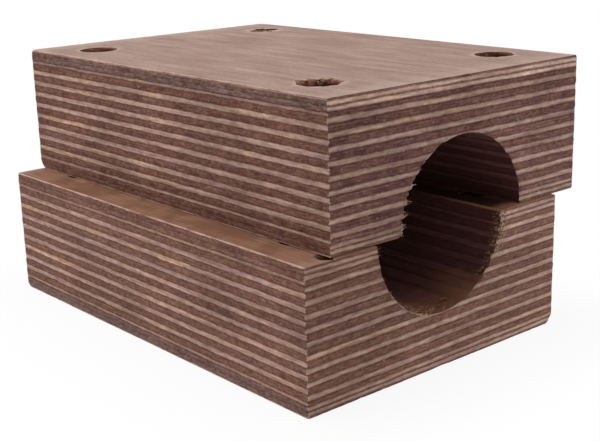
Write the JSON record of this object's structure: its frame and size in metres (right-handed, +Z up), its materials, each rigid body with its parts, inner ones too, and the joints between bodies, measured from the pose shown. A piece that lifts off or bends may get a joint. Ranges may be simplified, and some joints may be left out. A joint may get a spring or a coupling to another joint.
{
  "type": "wooden bearing block",
  "caption": "Two-part laminated wood bearing block: loose halves with a half-round shaft groove and bolt holes, the upper half resting slid sideways on the lower one.",
  "frame": {"origin": "middle of the lower half's underside", "axes": "+X across the block, the way the upper half is slid; +Y along the shaft groove, away from the end face that the picture shows; +Z up"},
  "size_m": [0.09, 0.123, 0.0666],
  "materials": {
    "laminated_beech": "sawn, oil-darkened, matt"
  },
  "bodies": {
    "root": {"upper_half": "laminated_beech", "lower_half": "laminated_beech"}
  },
  "joints": []
}
